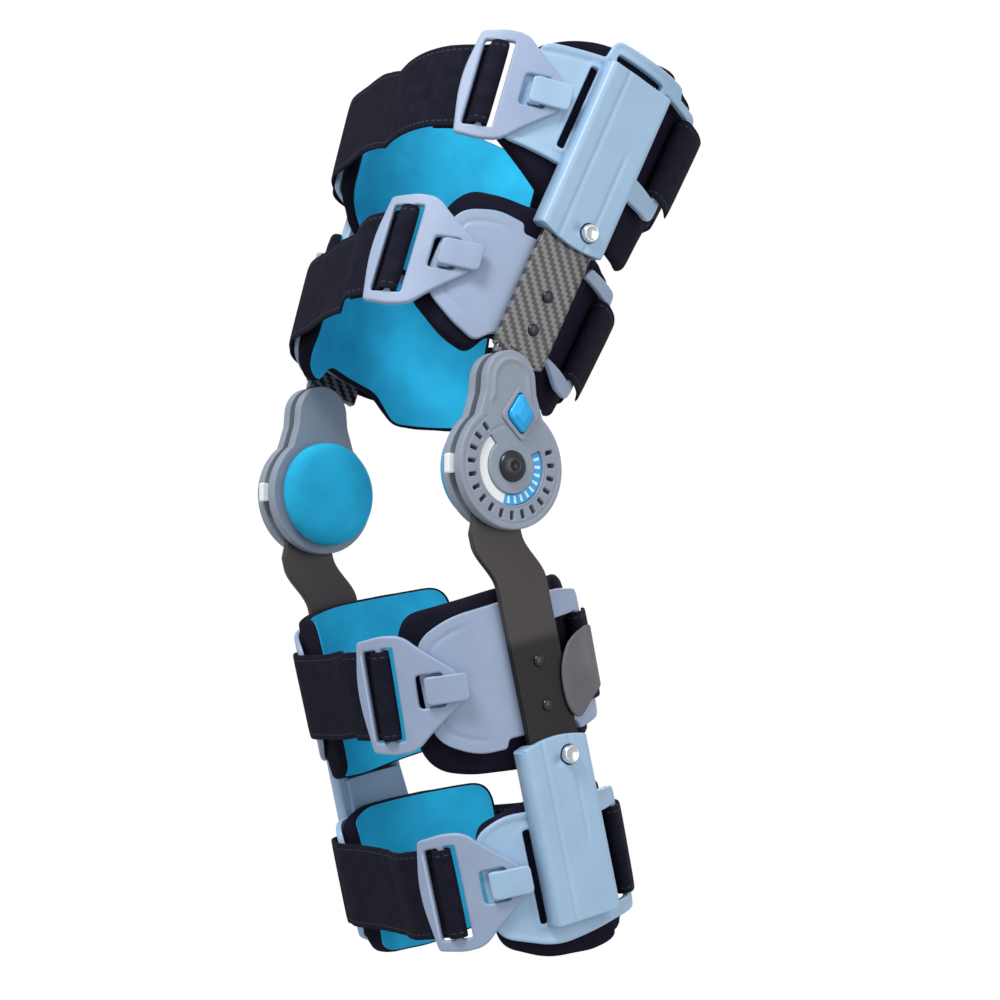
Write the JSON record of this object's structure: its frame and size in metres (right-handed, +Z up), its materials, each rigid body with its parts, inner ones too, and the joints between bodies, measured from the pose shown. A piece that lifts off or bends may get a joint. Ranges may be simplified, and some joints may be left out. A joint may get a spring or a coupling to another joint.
{
  "type": "hinged knee splint",
  "caption": "Hinged range-of-motion knee splint with dial hinges, padded thigh and calf cuffs on struts, hook buckles and webbing straps round the leg.",
  "frame": {"origin": "middle of the knee axis, between the two hinge pivots", "axes": "+X towards the lateral side, -Y towards the front of the leg, +Z up"},
  "size_m": [0.234, 0.2227, 0.4989],
  "materials": {
    "housing_plastic": "moulded plastic, light steel blue",
    "cuff_plastic": "moulded plastic, lavender grey",
    "hinge_plastic": "moulded plastic, mid grey",
    "twill_strut": "lacquered twill pattern on a flat bar",
    "dark_strut": "charcoal coated bar",
    "pad_cloth": "black cloth over foam",
    "blue_cloth": "bright blue soft cloth",
    "webbing": "black woven webbing",
    "blue_plastic": "bright blue plastic",
    "silver_metal": "satin silver",
    "dark_metal": "dark steel",
    "dial_print": "white plastic with plain marks"
  },
  "bodies": {
    "thigh": {"lateral_thigh_strut": "twill_strut", "lateral_thigh_housing": "housing_plastic", "lateral_thigh_plate": "cuff_plastic", "lateral_thigh_upper_pad": "pad_cloth", "lateral_thigh_lower_pad": "pad_cloth", "lateral_thigh_rivet_1": "dark_metal", "lateral_thigh_rivet_2": "dark_metal", "lateral_hinge_cover": "hinge_plastic", "lateral_hinge_back": "hinge_plastic", "lateral_dial_scale": "dial_print", "lateral_pivot": "dark_metal", "lateral_condyle_pad": "blue_cloth", "lateral_stop_tab": "dial_print", "medial_thigh_strut": "twill_strut", "medial_thigh_housing": "housing_plastic", "medial_thigh_plate": "cuff_plastic", "medial_thigh_upper_pad": "pad_cloth", "medial_thigh_lower_pad": "pad_cloth", "medial_thigh_rivet_1": "dark_metal", "medial_thigh_rivet_2": "dark_metal", "medial_hinge_cover": "hinge_plastic", "medial_hinge_back": "hinge_plastic", "medial_dial_scale": "dial_print", "medial_pivot": "dark_metal", "medial_condyle_pad": "blue_cloth", "medial_stop_tab": "dial_print", "thigh_upper_strap": "webbing", "thigh_upper_buckle": "cuff_plastic", "thigh_lower_strap": "webbing", "thigh_lower_buckle": "cuff_plastic"},
    "calf": {"lateral_calf_strut": "dark_strut", "lateral_calf_plate": "cuff_plastic", "lateral_calf_housing": "housing_plastic", "lateral_calf_upper_pad": "pad_cloth", "lateral_calf_lower_pad": "pad_cloth", "lateral_calf_rivet_1": "dark_metal", "lateral_calf_rivet_2": "dark_metal", "medial_calf_strut": "dark_strut", "medial_calf_plate": "cuff_plastic", "medial_calf_housing": "housing_plastic", "medial_calf_upper_pad": "pad_cloth", "medial_calf_lower_pad": "pad_cloth", "medial_calf_rivet_1": "dark_metal", "medial_calf_rivet_2": "dark_metal", "calf_upper_strap": "webbing", "calf_upper_buckle": "cuff_plastic", "calf_lower_strap": "webbing", "calf_lower_buckle": "cuff_plastic"},
    "lateral_thigh_button": {"lateral_thigh_button": "silver_metal"},
    "lateral_lock_button": {"lateral_lock_button": "blue_plastic"},
    "lateral_calf_button": {"lateral_calf_button": "silver_metal"},
    "medial_thigh_button": {"medial_thigh_button": "silver_metal"},
    "medial_lock_button": {"medial_lock_button": "blue_plastic"},
    "medial_calf_button": {"medial_calf_button": "silver_metal"}
  },
  "joints": [
    {"name": "knee_flexion", "type": "hinge", "parent": "thigh", "child": "calf", "pos_m": [0, 0, 0], "axis": [1, 0, 0], "range_deg": [-37.7, 52.3]},
    {"name": "lateral_thigh_button_press", "type": "slide", "parent": "thigh", "child": "lateral_thigh_button", "axis": [-0.9925, 0.0486, 0.1118], "range_m": [0, 0.0025], "stiffness_N_per_m": 500},
    {"name": "lateral_lock_button_press", "type": "slide", "parent": "thigh", "child": "lateral_lock_button", "axis": [-1, 0, 0], "range_m": [0, 0.0024], "stiffness_N_per_m": 500},
    {"name": "lateral_calf_button_press", "type": "slide", "parent": "calf", "child": "lateral_calf_button", "axis": [-1, 0, 0], "range_m": [0, 0.0025], "stiffness_N_per_m": 500},
    {"name": "medial_thigh_button_press", "type": "slide", "parent": "thigh", "child": "medial_thigh_button", "axis": [0.9925, 0.0486, 0.1118], "range_m": [0, 0.0025], "stiffness_N_per_m": 500},
    {"name": "medial_lock_button_press", "type": "slide", "parent": "thigh", "child": "medial_lock_button", "axis": [1, 0, 0], "range_m": [0, 0.0024], "stiffness_N_per_m": 500},
    {"name": "medial_calf_button_press", "type": "slide", "parent": "calf", "child": "medial_calf_button", "axis": [1, 0, 0], "range_m": [0, 0.0025], "stiffness_N_per_m": 500}
  ]
}
